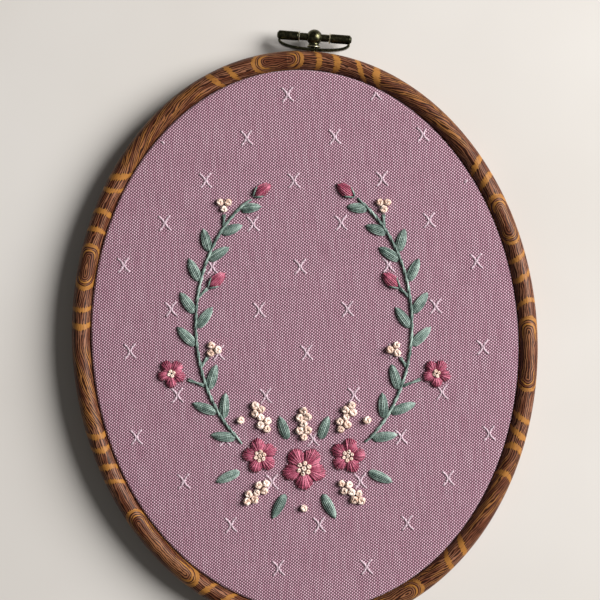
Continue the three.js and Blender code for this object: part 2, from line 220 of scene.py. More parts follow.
# %% Spin a section round the oval
SPIN_RADIUS = 60 * MM
FLAT_MARGIN = 9 * MM


def spun(name, places, steps, axis, open_ended=False):
    """Spins a section about an axis. An open one starts and ends on the axis, so it is not joined there."""
    select_only()
    bpy.ops.mesh.primitive_circle_add(vertices=len(places), radius=MM, fill_type="NOTHING")
    obj = bpy.context.object
    obj.name = name
    for vertex, place in zip(obj.data.vertices, places):
        vertex.co = place
    if open_ended:
        delete_axis_edge(obj)
    bpy.ops.object.mode_set(mode="EDIT")
    bpy.ops.mesh.select_all(action="SELECT")
    bpy.ops.mesh.spin(steps=steps, angle=2 * math.pi, center=(0, 0, 0), axis=axis, use_auto_merge=True)
    close_mesh(obj)
    return obj


def delete_axis_edge(obj):
    ends = {0, len(obj.data.vertices) - 1}
    bpy.ops.object.mode_set(mode="EDIT")
    bpy.ops.mesh.select_mode(type="EDGE")
    bpy.ops.mesh.select_all(action="DESELECT")
    bpy.ops.object.mode_set(mode="OBJECT")
    for edge in obj.data.edges:
        edge.select = set(edge.vertices) == ends
    bpy.ops.object.mode_set(mode="EDIT")
    bpy.ops.mesh.delete(type="EDGE_FACE")
    bpy.ops.mesh.select_mode(type="VERT")
    bpy.ops.object.mode_set(mode="OBJECT")


def spun_round_oval(name, section, steps, open_ended=False):
    places = [(0, SPIN_RADIUS + offset, height) for offset, height in section]
    return spun(name, places, steps, (0, 0, 1), open_ended)


def spun_places(obj):
    """The turn, offset and height of each vertex while the ring is still round."""
    places = np.zeros(len(obj.data.vertices) * 3)
    obj.data.vertices.foreach_get("co", places)
    x, y, z = places.reshape(-1, 3).T
    return np.arctan2(x, y) % (2 * math.pi), np.hypot(x, y) - SPIN_RADIUS, z


def lay_on_oval(obj):
    turn, offset, z = spun_places(obj)
    rim = np.maximum(offset, -FLAT_MARGIN)
    x, y = oval_point(turn, rim)
    share = (offset + SPIN_RADIUS) / (rim + SPIN_RADIUS)
    places = np.column_stack([(x - CENTRE.x) * share + CENTRE.x, (y - CENTRE.y) * share + CENTRE.y, z])
    obj.data.vertices.foreach_set("co", places.ravel())
    close_mesh(obj)
    bpy.ops.object.shade_smooth_by_angle(angle=math.radians(50))


def quarter(centre, height, wide, high, steps):
    """Points of a quarter of an ellipse, from its side to its top."""
    turns = [i / steps * math.pi / 2 for i in range(steps + 1)]
    return [(centre + wide * math.cos(a), height + high * math.sin(a)) for a in turns]


print("radius of the round path in mm:", round(SPIN_RADIUS / MM))

# %% [markdown]
# ## The outer ring
# The real ring is flexible vinyl with a wood grain printed on it: fine dark streaks that run along the
# ring, amber bands that cross it, and long eyes between pairs of bands. The streaks could be noise
# alone, but a print has a plan. So the plan is a short table of where bands, eyes and flowing stretches
# lie, in millimetres round the ring. Formulas turn it into numbers stored on the points, and the
# material reads those.

# %% Model the outer ring
RING_HEIGHT = ring_high.z
CROWN = 2.6 * MM
FOOT = 0.6 * MM
SIDE_STEPS = 8
CROWN_STEPS = 14
FOOT_STEPS = 3
RING_STEPS = 1200
middle = (RING_IN + RING_OUT) / 2
shoulder = RING_HEIGHT - CROWN
foot = quarter(RING_OUT - FOOT, FOOT, FOOT, -FOOT, FOOT_STEPS)[::-1][:-1]
side = [(RING_OUT, FOOT + (shoulder - FOOT) * i / SIDE_STEPS) for i in range(SIDE_STEPS)]
crown = quarter(middle, shoulder, RING_WIDTH / 2, CROWN, CROWN_STEPS)
outer_half = foot + side + crown
inner_half = [(2 * middle - offset, height) for offset, height in reversed(outer_half)]
ring_section = outer_half + inner_half[1:]
outer_ring = spun_round_oval("hoop_outer_ring", ring_section, RING_STEPS)
print("section points:", len(ring_section), "ring points:", len(outer_ring.data.vertices))

# %% Chart the print, in millimetres round the ring
# Each band: its place, half its width, how far its outer end leans back, how far its middle bulges on.
BANDS = [
    (7.0, 0.85, 0.2, 0.7), (11.2, 1.05, 0.3, 0.9), (17.5, 0.9, 1.4, -0.3), (21.8, 1.15, 1.0, -0.6),
    (53.8, 1.0, 1.0, -0.3), (58.2, 0.95, 0.9, -0.4), (78.4, 0.8, 0.7, 0.4), (83.2, 0.9, 0.7, 0.4),
    (89.5, 0.8, 0.5, -0.9), (117.6, 0.9, -0.8, 0.3), (121.4, 0.95, -0.9, 0.2), (125.2, 1.0, -0.3, -0.9),
    (132.2, 0.85, -0.3, -1.0), (151.8, 1.0, -1.0, 0.3), (156.6, 0.9, -0.8, 0.4), (183.5, 0.9, 0.3, 0.6),
    (188.2, 1.0, 0.2, 0.8), (194.5, 0.9, -0.5, -0.6), (214.2, 0.95, -1.2, 0.2), (219.2, 0.85, -0.8, 0.2),
    (253.8, 0.75, -0.8, 0.3), (257.6, 0.9, -0.4, 0.3), (262.5, 0.85, -0.3, -0.8), (265.9, 1.0, -0.5, -0.8),
    (292.9, 1.0, 0.0, -0.8), (297.0, 0.8, 0.1, -0.5), (316.3, 0.8, 0.1, 0.5), (320.8, 0.9, 0.1, 0.7),
    (326.9, 0.8, 0.6, -0.6), (330.6, 1.2, 1.0, -0.6), (363.3, 0.9, 0.9, -0.2), (367.7, 0.8, 0.9, -0.2),
]
# Each eye: its middle and half its length. Each flowing stretch: where it starts and ends, and its slope.
# Then a streak's width, how far a band bends and how it waves down the walls, and an eye's half width.
EYES = [(-2.4, 5.8), (68.6, 6.0), (102.0, 8.8), (172.0, 6.5), (234.0, 11.5), (307.3, 5.3)]
FLOWS = [
    (21, 51, 0.3), (126, 150, -0.26), (157, 167, -0.26), (196, 211, 0.3), (266, 289, 0.3), (331, 361, 0.3),
]
STREAK = 0.54
BEND = 1.5
WALL_WAVE = 0.5
EYE_HALF_WIDTH = 3.06
EYE_RINGS = EYE_HALF_WIDTH / STREAK
EYE_INNER_LOOP = 0.56
EYE_INNER_HALF = 0.11
print("bands:", len(BANDS), "eyes:", len(EYES), "flowing stretches:", len(FLOWS))

# %% Measure each point's way along and over the ring
CROWN_HALF = 3.4
turn, offset, height = spun_places(outer_ring)
edge_turns = np.linspace(0, 2 * math.pi, OVAL_STEPS + 1)
along = np.interp(turn, edge_turns, arc_lengths(OVAL_STEPS)) / MM
loop = np.array(ring_section + ring_section[:1])
loop_lengths = np.concatenate([[0], np.cumsum(np.hypot(*np.diff(loop, axis=0).T))]) / MM
sideways = offset[:, None] - loop[None, :-1, 0]
upwards = height[:, None] - loop[None, :-1, 1]
nearest = np.argmin(np.hypot(sideways, upwards), axis=1)
over = loop_lengths[nearest]
top_of_crown = loop_lengths[len(outer_half) - 1]
across = (top_of_crown - over) / CROWN_HALF
print("way over the ring in mm:", round(loop_lengths[-1], 1), "to its crown:", round(top_of_crown, 1))


# %% Formulas of the chart
def smooth(value, low, high):
    share = np.clip((value - low) / (high - low), 0, 1)
    return share * share * (3 - 2 * share)


def way_from(place):
    """How far each point lies past a place on the ring, the short way round."""
    whole = PERIMETER / MM
    return (along - place + whole / 2) % whole - whole / 2


def stripe(distance, half_width):
    return 1 - smooth(np.abs(distance), half_width * 0.2, half_width * 1.5)


print("points of the ring on its crown:", int((np.abs(across) < 1).sum()))

# %% Let the grain climb in the flowing stretches
CHART_STEPS = 4000
FLOW_END = 3
flow = np.zeros(len(along))
ring_way = np.linspace(0, PERIMETER / MM, CHART_STEPS)
slopes = np.zeros(CHART_STEPS)
for start, end, slope in FLOWS:
    share = np.clip((ring_way - start) / (end - start), 0, 1)
    slopes += slope * (1.5 - share) * smooth(share, 0, 0.12) * (1 - smooth(share, 0.85, 1))
    past = way_from((start + end) / 2)
    half = (end - start) / 2
    flow = np.maximum(flow, 1 - smooth(np.abs(past), half - FLOW_END, half))
slopes[slopes == 0] -= slopes.sum() / (slopes == 0).sum()
climb = np.cumsum(slopes) * ring_way[1] / STREAK
grain = across * CROWN_HALF / STREAK - np.interp(along, ring_way, climb)
print("streaks climbed at most:", round(float(np.abs(climb).max()), 1))

# %% Lay the bands across the ring
level = np.clip(across, -1.05, 1.05)
on_side = smooth(np.abs(across), 0.95, 1.6)
amber = np.zeros(len(along))
for place, half_width, lean, bulge in BANDS:
    line = way_from(place) + BEND * (lean * level + bulge * (level**2 - 0.4))
    line += on_side * WALL_WAVE * np.sin(1.3 * over + 2.1 * place)
    swell = half_width * (0.94 - 0.36 * level**2)
    amber = np.maximum(amber, stripe(line, swell))
print("bands cover", round(float((amber > 0.5).mean()), 3), "of the points")

# %% Draw the eyes, nested loops with an amber rim and an amber loop inside it
eye = np.zeros(len(along))
for place, half_length in EYES:
    past_core = np.maximum(np.abs(way_from(place)) - (half_length - EYE_HALF_WIDTH), 0)
    reach = np.hypot(past_core, across * CROWN_HALF) / EYE_HALF_WIDTH
    inside = 1 - smooth(reach, 0.97, 1.05)
    middle_grain = -round(float(np.interp(place % ring_way[-1], ring_way, climb)))
    grain = grain * (1 - inside) + inside * (middle_grain + reach * EYE_RINGS)
    eye = np.maximum(eye, inside)
    flow = np.maximum(flow, 0.4 * inside)
    tip = way_from(place) / half_length
    thick = 0.05 + 0.16 * smooth(-tip, 0.3, 0.9) + 0.09 * smooth(tip, 0.4, 0.95)
    amber = np.maximum(amber, stripe(reach - 1, thick))
    inner_share = (0.7 + 0.2 * smooth(-tip, 0, 0.5)) * smooth(np.abs(tip), 0.2, 0.6)
    amber = np.maximum(amber, inner_share * stripe(reach - EYE_INNER_LOOP, EYE_INNER_HALF))
print("bands and eyes cover", round(float((amber > 0.5).mean()), 3), "of the points")

# %% Store the chart on the points, and lay the ring on the oval
printed = smooth(height, 0.05 * MM, 0.5 * MM)
chart = {"grain": grain, "amber": amber, "flow": flow, "eye": eye, "along": along, "printed": printed}
for name, values in chart.items():
    outer_ring.data.attributes.new(name, "FLOAT", "POINT").data.foreach_set("value", values)
lay_on_oval(outer_ring)
print("stored on the points:", list(chart))

# %% [markdown]
# ## The print
# On the real ring the grain is printed ink: dark broken lines on a ground that drifts from mahogany to
# tan, with amber bands over both. A picture of the ring would do it, but only for one ring. Here a cosine
# of the stored grain gives evenly spaced lines, and noises drawn out along the grain bend and break them.

# %% Inks of the print, and the noises that break it up
AMBER = linear(152, 103, 48)
AMBER_WORN = linear(126, 80, 38)
HONEY = linear(142, 94, 50)
TAN = linear(136, 92, 68)
MAHOGANY = linear(98, 54, 34)
DARK_STREAK = linear(32, 8, 3)
BARE = linear(62, 34, 22)
GLOSS_TINT = (1.0, 0.84, 0.74, 1)
print_material, tree, shader = new_material(
    "printed_vinyl", Roughness=0.45, Specular_IOR_Level=0.2, Specular_Tint=GLOSS_TINT
)


def stored(tree, name):
    return add_node(tree, "ShaderNodeAttribute", {}, attribute_name=name).outputs["Fac"]


def grain_noise(tree, across_scale, along_scale, detail):
    """Noise whose blotches are drawn out along the grain."""
    x = sums(tree, "MULTIPLY", stored(tree, "grain"), across_scale)
    y = sums(tree, "MULTIPLY", stored(tree, "along"), along_scale)
    place = add_node(tree, "ShaderNodeCombineXYZ", {"X": x, "Y": y}).outputs[0]
    return noise(tree, place, 1.0, detail, 0.6)


wander = grain_noise(tree, 0.4, 0.2, 1.5)
broken = grain_noise(tree, 1.1, 0.5, 2.5)
slow = grain_noise(tree, 0.42, 0.08, 1.5)
object_place = own_place(tree)
spots = noise(tree, object_place, 850, 2)
ripple = noise(tree, object_place, 330, 1.5)
print("nodes of the print so far:", len(tree.nodes))


# %% Dark streaks along the grain
def shaken(value, shake, amount):
    """A value moved up or down by a noise about its middle."""
    return sums(tree, "MULTIPLY_ADD", sums(tree, "SUBTRACT", shake, 0.5), amount, value)


wobble = add_node(tree, "ShaderNodeMix", {0: stored(tree, "eye"), 2: wander, 3: ripple}).outputs[0]
phase = sums(tree, "MULTIPLY_ADD", wobble, 2.8, stored(tree, "grain"))
line = sums(tree, "COSINE", sums(tree, "MULTIPLY", phase, 2 * math.pi))
inked = shaken(shaken(line, broken, 3.0), spots, 1.6)
streak = steps_between(tree, inked, -0.3, 0.15)
wood = ramp(tree, slow, (0.4, MAHOGANY), (0.6, TAN))
honey_share = sums(tree, "MULTIPLY", stored(tree, "flow"), steps_between(tree, slow, 0.45, 0.57))
wood = blend_colours(tree, honey_share, wood, HONEY)
wood = blend_colours(tree, sums(tree, "MULTIPLY", streak, 0.95), wood, DARK_STREAK)
print("nodes with the streaks:", len(tree.nodes))

# %% Amber bands with ragged edges, and the gloss
ragged = shaken(shaken(stored(tree, "amber"), broken, 1.1), spots, 0.8)
ragged = sums(tree, "MULTIPLY_ADD", line, -0.2, ragged)
amber_share = steps_between(tree, ragged, 0.44, 0.58)
amber_colour = ramp(tree, broken, (0.3, AMBER_WORN), (0.5, AMBER))
colour = blend_colours(tree, amber_share, wood, amber_colour)
colour = blend_colours(tree, stored(tree, "printed"), BARE, colour)
tree.links.new(colour, shader.inputs["Base Color"])
bump(tree, shader, sums(tree, "SUBTRACT", amber_share, streak), 0.03 * MM, 0.6)
settle(outer_ring, "outer_ring", print_material)

# %% [markdown]
# ## The inner ring
# It hides behind the cloth and shows only from the back, so it has no print. It is moulded too, so it
# is the same spun section with broken edges.

# %% Model and finish the inner ring
SHEET = 0.9 * MM
CLOTH_OUT = 0.1 * MM
FIT = 0.03 * MM
INNER_OUT = CLOTH_OUT - SHEET - FIT
INNER_IN = -4.45 * MM
INNER_TOP = FACE - SHEET - FIT
EDGE = 0.5 * MM
inner_section = (
    [(INNER_IN + EDGE / 2, 0), (INNER_OUT - EDGE / 2, 0), (INNER_OUT, EDGE / 2)]
    + quarter(INNER_OUT - EDGE, INNER_TOP - EDGE, EDGE, EDGE, 4)
    + quarter(INNER_IN + EDGE, INNER_TOP - EDGE, -EDGE, EDGE, 4)[::-1]
    + [(INNER_IN, EDGE / 2)]
)
inner_ring = spun_round_oval("hoop_inner_ring", inner_section, 360)
lay_on_oval(inner_ring)
inner_material, tree, shader = new_material("plain_vinyl", Roughness=0.5)
place = own_place(tree)
mottle = noise(tree, place, 900, 3)
colour = ramp(tree, mottle, (0.35, linear(66, 38, 26)), (0.65, linear(82, 48, 33)))
tree.links.new(colour, shader.inputs["Base Color"])
bump(tree, shader, noise(tree, place, 5000, 2), 0.03 * MM, 0.4)
settle(inner_ring, "inner_ring", inner_material)

# %% [markdown]
# ## The cloth
# One sheet of cotton lies flat on the inner ring, rolls over its edge and goes down between the rings.
# It is taut, so a simulation would only give back the flat sheet: it is modelled.

# %% Model the cloth
ROLL = 0.8 * MM
CLOTH_END = 0.8 * MM
WALL_MIDDLE = 3 * MM
under = FACE - SHEET
inside = CLOTH_OUT - SHEET
cloth_section = (
    [(-SPIN_RADIUS, under), (-FLAT_MARGIN, under), (inside - 0.4 * MM, under)]
    + [(inside - 0.1 * MM, under - 0.1 * MM), (inside, under - 0.4 * MM), (inside, WALL_MIDDLE)]
    + [(inside, CLOTH_END), (CLOTH_OUT, CLOTH_END), (CLOTH_OUT, WALL_MIDDLE)]
    + quarter(CLOTH_OUT - ROLL, FACE - ROLL, ROLL, ROLL, 8)
    + [(-FLAT_MARGIN / 2, FACE), (-FLAT_MARGIN, FACE), (-30 * MM, FACE), (-SPIN_RADIUS, FACE)]
)
cloth = spun_round_oval("hoop_cloth", cloth_section, 240, open_ended=True)
lay_on_oval(cloth)
print("cloth points:", len(cloth.data.vertices))

# %% [markdown]
# ## The weave
# Yarn-dyed cotton has pale threads one way and deeper ones across them, each over one and under the
# next. They are far finer than any mesh could carry, so the material draws and raises them, and paints
# shade into the gaps between them. A hump is a thread, the sum of both threads' numbers says which lies
# on top, and slubs make the yarn uneven.

# %% Pitch and colours of the threads
WARP_PITCH = 0.44 * MM
WEFT_PITCH = 0.375 * MM
WEAVE_TURN = math.radians(-1)
WARP = linear(200, 157, 173)
WARP_PALE = linear(229, 196, 209)
WEFT = linear(118, 68, 89)
WEFT_DEEP = linear(86, 42, 62)
# The last colour is painted shade for the low gaps between threads.
PAINTED_GAP_SHADE = linear(54, 20, 34)
weave_material, tree, shader = new_material(
    "rose_chambray", Roughness=0.92, Sheen_Weight=0.2, Sheen_Roughness=0.5
)
object_place = own_place(tree)
wander = noise(tree, object_place, 260, 2)
threads = add_node(
    tree,
    "ShaderNodeMapping",
    {"Vector": object_place, "Rotation": (0, 0, WEAVE_TURN), "Scale": (1 / WARP_PITCH, 1 / WEFT_PITCH, 1)},
).outputs[0]
split = add_node(tree, "ShaderNodeSeparateXYZ", {"Vector": threads})
warp_place = sums(tree, "MULTIPLY_ADD", wander, 0.5, split.outputs["X"])
weft_place = sums(tree, "MULTIPLY_ADD", wander, 0.6, split.outputs["Y"])
print("threads to the inch:", round(25.4 * MM / WARP_PITCH), "by", round(25.4 * MM / WEFT_PITCH))


# %% Threads that go over and under
def thread_hump(tree, place):
    """1 on the crown of a thread and 0 between two threads."""
    middle_off = sums(tree, "SUBTRACT", sums(tree, "FRACT", place), 0.5)
    return sums(tree, "COSINE", sums(tree, "MULTIPLY", middle_off, math.pi))


def slubs(tree, across_scale, along_scale):
    """Noise drawn out along a thread, for yarn that is thick and pale here and thin and dark there."""
    stretch = {"Vector": object_place, "Scale": (across_scale, along_scale, 1)}
    return noise(tree, add_node(tree, "ShaderNodeMapping", stretch).outputs[0], 1, 3, 0.6)


warp_hump = thread_hump(tree, warp_place)
weft_hump = thread_hump(tree, weft_place)
crossing = sums(tree, "ADD", sums(tree, "FLOOR", warp_place), sums(tree, "FLOOR", weft_place))
warp_over = sums(tree, "PINGPONG", crossing, 1.0)
warp_height = sums(tree, "MULTIPLY", warp_hump, sums(tree, "MULTIPLY_ADD", weft_hump, 0.65, 0.35))
weft_height = sums(tree, "MULTIPLY", weft_hump, sums(tree, "MULTIPLY_ADD", warp_hump, 0.65, 0.35))
weave_height = add_node(tree, "ShaderNodeMix", {0: warp_over, 2: weft_height, 3: warp_height}).outputs[0]
print("nodes of the weave so far:", len(tree.nodes))

# %% Colours of the yarn, painted shade between threads, and its relief
warp_slubs = slubs(tree, 1700, 130)
weft_slubs = slubs(tree, 130, 1900)
warp_tone = ramp(tree, warp_slubs, (0.35, WARP), (0.72, WARP_PALE))
weft_tone = ramp(tree, weft_slubs, (0.3, WEFT_DEEP), (0.6, WEFT))
top_colour = blend_colours(tree, warp_over, weft_tone, warp_tone)
# Painted shade: the colour darkens towards a shade colour in the low gaps between thread crowns.
lit = steps_between(tree, weave_height, 0.06, 0.55)
cloth_colour = blend_colours(tree, lit, PAINTED_GAP_SHADE, top_colour)
tree.links.new(cloth_colour, shader.inputs["Base Color"])
thick = sums(tree, "MULTIPLY_ADD", sums(tree, "ADD", warp_slubs, weft_slubs), 0.5, weave_height)
bump(tree, shader, thick, 0.12 * MM, 0.9)
print("nodes of the weave:", len(tree.nodes))

settle(cloth, "cloth", weave_material)

# %% [markdown]
# ## Thread
# Every stitch and every figure woven into the cloth is a length of thread. Each is a spline of a curve
# whose bevel is a small lobed section, so its strands show, and a slow tilt lets them wind round it.
# The curve is then made a mesh and closed. Lengths here are in millimetres, on the cloth, with the
# height counted from its face.

# %% A curve that is laid with thread
TWIST = 1.5
STRAND_LOBES = 5
LOBE_NOTCH = 0.74
DIP = 0.25


def thread_section():
    select_only()
    bpy.ops.curve.primitive_bezier_circle_add(radius=1)
    section = bpy.context.object
    section.name = "thread_section"
    points = 2 * STRAND_LOBES
    spline = section.data.splines.new("POLY")
    spline.points.add(points - 1)
    for i, point in enumerate(spline.points):
        reach = 1 if i % 2 else LOBE_NOTCH
        a = i / points * 2 * math.pi
        point.co = (reach * math.cos(a), reach * math.sin(a), 0, 1)
    spline.use_cyclic_u = True
    section.data.splines.remove(section.data.splines[0])
    section.hide_render = True
    return section


SECTION = thread_section()


def new_thread(name):
    curve = bpy.data.curves.new(name, "CURVE")
    curve.dimensions = "3D"
    curve.bevel_mode = "OBJECT"
    curve.bevel_object = SECTION
    curve.use_fill_caps = True
    thread = bpy.data.objects.new(name, curve)
    bpy.context.scene.collection.objects.link(thread)
    return thread


def lay_thread(thread, points, radius, taper=0.75):
    """One stitch through a list of (x, y, height), with ends a little thinner than its middle."""
    spline = thread.data.splines.new("POLY")
    spline.points.add(len(points) - 1)
    way = 0
    start_tilt = len(thread.data.splines) * 1.3
    for i, (x, y, z) in enumerate(points):
        if i:
            way += math.dist(points[i - 1], points[i])
        spline.points[i].co = (x * MM, y * MM, z * MM + FACE, 1)
        spline.points[i].tilt = start_tilt + way * TWIST
        belly = abs(math.sin(math.pi * i / (len(points) - 1))) ** 0.5
        spline.points[i].radius = radius * MM * (taper + (1 - taper) * belly)


def thread_to_mesh(thread):
    select_only(thread)
    bpy.ops.object.convert(target="MESH")
    close_mesh(thread, 0.0005 * MM)
    bpy.ops.object.shade_smooth()
    return thread


print("thread section points:", 2 * STRAND_LOBES)

# %% [markdown]
# ## The woven crosses
# The cotton has a small white figure woven in, two arcs back to back, in a half-drop repeat. Each arc
# is a fine white thread that floats over a few threads of the cloth, dips under one and comes up again.

# %% Weave the crosses into the cloth
# The first cross and the two steps of the repeat are in millimetres from the middle of the cloth.
CROSS_START = (-44.07, 20.57)
CROSS_STEP_UP = (10.86, 10.25)
CROSS_STEP_DOWN = (11.16, -11.32)
ROW_BOW = 0.00045
CROSS_HALF_HEIGHT = 1.78
CROSS_WAIST = 0.16
CROSS_SPREAD = 1.28
CROSS_FLOAT = 0.76
CROSS_LIFT = 0.13
CROSS_SINK = 0.17
CROSS_THREAD = 0.33
ARC_STEPS = 12
EDGE_MARGIN = 1.0
face_half = (HALF_WIDTH / MM - EDGE_MARGIN, HALF_HEIGHT / MM - EDGE_MARGIN)
crosses = new_thread("woven_crosses")
arc_count = 0
for i in range(-12, 13):
    for j in range(-12, 13):
        x = CROSS_START[0] + i * CROSS_STEP_UP[0] + j * CROSS_STEP_DOWN[0]
        y = CROSS_START[1] + i * CROSS_STEP_UP[1] + j * CROSS_STEP_DOWN[1] + ROW_BOW * x * x
        for hand in (-1, 1):
            arc = []
            for k in range(2 * ARC_STEPS + 1):
                rise = (k / ARC_STEPS - 1) * CROSS_HALF_HEIGHT
                spread = CROSS_WAIST + CROSS_SPREAD * abs(k / ARC_STEPS - 1) ** 1.7
                lift = CROSS_LIFT * abs(math.cos(math.pi * rise / CROSS_FLOAT)) - CROSS_SINK
                if math.hypot((x + hand * spread) / face_half[0], (y + rise) / face_half[1]) < 1:
                    arc.append((x + CENTRE.x / MM + hand * spread, y + CENTRE.y / MM + rise, lift))
            if len(arc) > 3:
                arc_count += 1
                lay_thread(crosses, arc, CROSS_THREAD)
thread_to_mesh(crosses)
print("arcs of crosses:", arc_count)

# %% White woven thread
white_material, tree, shader = new_material("white_woven_thread", Roughness=0.8, Sheen_Weight=0.3)
place = own_place(tree)
colour = ramp(tree, noise(tree, place, 2200, 2), (0.35, linear(168, 144, 154)), (0.6, linear(204, 182, 192)))
tree.links.new(colour, shader.inputs["Base Color"])
settle(crosses, None, white_material)

# %% [markdown]
# ## Colours of the stitching thread
# Stranded cotton has a soft shine along its fibres. One function makes the three colours: fine lines
# run along the thread on its own UV map, a slow noise shifts the tone, and each stitch differs a
# little from the next.

# %% Stranded cotton in three colours
FIBRES_ROUND = 15


def floss(name, dark, middle_tone, light, shine):
    material, tree, shader = new_material(name, Roughness=shine, Sheen_Weight=0.35, Sheen_Roughness=0.35)
    coordinates = add_node(tree, "ShaderNodeTexCoord", {})
    around = add_node(tree, "ShaderNodeSeparateXYZ", {"Vector": coordinates.outputs["UV"]}).outputs["X"]
    fibre = sums(tree, "SINE", sums(tree, "MULTIPLY", around, 2 * math.pi * FIBRES_ROUND))
    tone = noise(tree, coordinates.outputs["Object"], 700, 2)
    island = add_node(tree, "ShaderNodeNewGeometry", {}).outputs["Random Per Island"]
    value = sums(tree, "MULTIPLY_ADD", tone, 0.7, sums(tree, "MULTIPLY", island, 0.3))
    value = sums(tree, "MULTIPLY_ADD", fibre, 0.05, value)
    colour = ramp(tree, value, (0.28, dark), (0.5, middle_tone), (0.72, light))
    tree.links.new(colour, shader.inputs["Base Color"])
    bump(tree, shader, fibre, 0.03 * MM, 0.5)
    return material


GREEN = floss("sage_floss", linear(64, 84, 77), linear(108, 130, 121), linear(160, 180, 170), 0.4)
ROSE = floss("berry_floss", linear(112, 36, 60), linear(160, 68, 94), linear(206, 116, 140), 0.38)
CREAM = floss("cream_floss", linear(202, 166, 144), linear(232, 206, 190), linear(248, 232, 220), 0.5)
print("thread colours ready")

# %% [markdown]
# ## The wreath's plan
# The stitched design is a plain laurel wreath: two stems that rise from a foot of blossoms, with
# leaves, buds and knots along them. Its places are in millimetres from the wreath's middle. The whole
# drawing is turned a little, because the cloth sits slightly askew in the hoop.

# %% Sizes and places of the wreath
DESIGN_TURN = math.radians(-3.4)
DESIGN_LIFT = 4
WREATH_HALF_WIDTH = 27
WREATH_HALF_HEIGHT = 36
STEM_FROM = 34
STEM_TO = 151
LEAF_WIDTH = 2.5
LEAF_SPREAD = 38
BUD_WIDTH = 2.9
BUD_TAPER = 0.35
PETALS = 5
WAIST = 0.62
KNOT = 1.15
CENTRE_REACH = 0.3
NODE_GAP = 0.3
# Each foot blossom: degrees from the wreath's lowest point, and radius. Each thing round them: name, x,
# y, heading, and a leaf's length. Each leaf of a stem: how far along it, its side, and length.
FOOT_BLOSSOMS = {"middle": (0, 5.8), "left": (-24, 4.7), "right": (24, 4.7)}
FOOT_LEAVES = [("low", 4.4, -42, -62, 8), ("high", 3.9, -29.2, 70, 7), ("side", 15.6, -36.6, -24, 7.6)]
KNOT_SPRAYS = [("middle", 0, -28.2, 90), ("high", 9.2, -26.2, 64), ("low", 9.4, -39.8, -42)]
SPRAY_KNOTS = [(0, 0), (1.4, 0.9), (1.5, -0.85), (2.9, 0.1), (4.2, 0.9), (4.4, -0.8), (5.7, 0.1)]
SINGLE_KNOTS = [("low", 0, -46, 0), ("side", 15.8, -24, 0)]
STEM_LEAVES = [
    (0.03, 1, 7.4), (0.12, -1, 7.4), (0.15, 1, 7.8), (0.24, -1, 7.6), (0.4, 1, 7.6), (0.46, -1, 7.4),
    (0.51, 1, 7.4), (0.62, 1, 7.2), (0.7, -1, 7), (0.73, 1, 6.8), (0.81, -1, 6.4), (0.93, -1, 6),
]
# Each stalk: name, how far along the stem, side, spread, length, what it ends in, and that thing's size.
STALKS = [
    ("side_blossom", 0.26, 1, 50, 5.4, "blossom", 3.8),
    ("low_knots", 0.33, -1, 48, 3.2, "knots", KNOT),
    ("side_bud", 0.57, -1, 40, 3.6, "bud", 5.6),
    ("high_knots", 0.84, 1, 34, 3.4, "knots", KNOT),
    ("tip_bud", 1, 1, 0, 0.6, "bud", 5.4),
]


def drawn(x, y, z):
    """A place of the drawing as a place on the cloth, in millimetres."""
    turned_x = x * math.cos(DESIGN_TURN) - y * math.sin(DESIGN_TURN)
    turned_y = x * math.sin(DESIGN_TURN) + y * math.cos(DESIGN_TURN)
    return turned_x + CENTRE.x / MM, turned_y + CENTRE.y / MM + DESIGN_LIFT, z


def stepped(start, heading, distance):
    a = math.radians(heading)
    return start[0] + distance * math.cos(a), start[1] + distance * math.sin(a)


def wreath_point(hand, degrees):
    """A point of the wreath's oval and its heading, away from the foot. hand is 1 right and -1 left."""
    a = math.radians(-90 + hand * degrees)
    heading = math.atan2(hand * WREATH_HALF_HEIGHT * math.cos(a), -hand * WREATH_HALF_WIDTH * math.sin(a))
    return (WREATH_HALF_WIDTH * math.cos(a), WREATH_HALF_HEIGHT * math.sin(a)), math.degrees(heading)


def stem_point(hand, along_stem):
    return wreath_point(hand, STEM_FROM + along_stem * (STEM_TO - STEM_FROM))


def both_hands(rows):
    """Each row on the right, and mirrored on the left unless it lies on the middle line."""
    for name, x, y, heading, *rest in rows:
        if x == 0:
            yield name, x, y, heading, *rest
        else:
            yield f"{name}_right", x, y, heading, *rest
            yield f"{name}_left", -x, y, 180 - heading, *rest


print("stalks:", len(STALKS), "leaves on a stem:", len(STEM_LEAVES))

# %% [markdown]
# ## Stitches
# A straight stitch comes up through the cloth, arches over and goes down again. Leaves, buds and
# petals are satin stitch, straight stitches side by side, and their ends make the outline. Stems are
# stem stitch, in which each stitch starts beside the middle of the last. A French knot is thread
# wound round the needle, so it is a coil that ends in its own middle.

# %% One straight stitch
FULLNESS = 0.42
random.seed(7)


def arch(share, fullness=FULLNESS):
    return max(0.0, math.sin(math.pi * share)) ** fullness


def stitch(thread, places, rise, radius, fullness=FULLNESS):
    """Thread over a list of (x, y), rising to a height in its middle and dipping at both ends."""
    last = len(places) - 1
    points = [drawn(x, y, -DIP + (rise + DIP) * arch(i / last, fullness)) for i, (x, y) in enumerate(places)]
    lay_thread(thread, points, radius)


print("height share a tenth of the way along a stitch:", round(arch(0.1), 2))

# %% Leaves
LEAF_STRANDS = 6
LEAF_RISE = 0.72
LEAF_THREAD = 0.24
ALONG_STEPS = 12


def leaf(thread, start, heading, length):
    for i in range(LEAF_STRANDS):
        share = 2 * i / (LEAF_STRANDS - 1) - 1
        first = 0.03 + 0.05 * abs(share) + random.uniform(0, 0.02)
        last = 0.99 - 0.09 * abs(share) - random.uniform(0, 0.03)
        places = []
        for k in range(ALONG_STEPS + 1):
            t = first + (last - first) * k / ALONG_STEPS
            swell = math.sin(math.pi * min(1, t**0.85)) ** 0.8
            middle_line = stepped(start, heading, t * length)
            places.append(stepped(middle_line, heading + 90, share * (LEAF_WIDTH / 2 - 0.22) * swell))
        stitch(thread, places, LEAF_RISE - 0.32 * share**2 + random.uniform(-0.05, 0.05), LEAF_THREAD)


print("strands in a leaf:", LEAF_STRANDS)

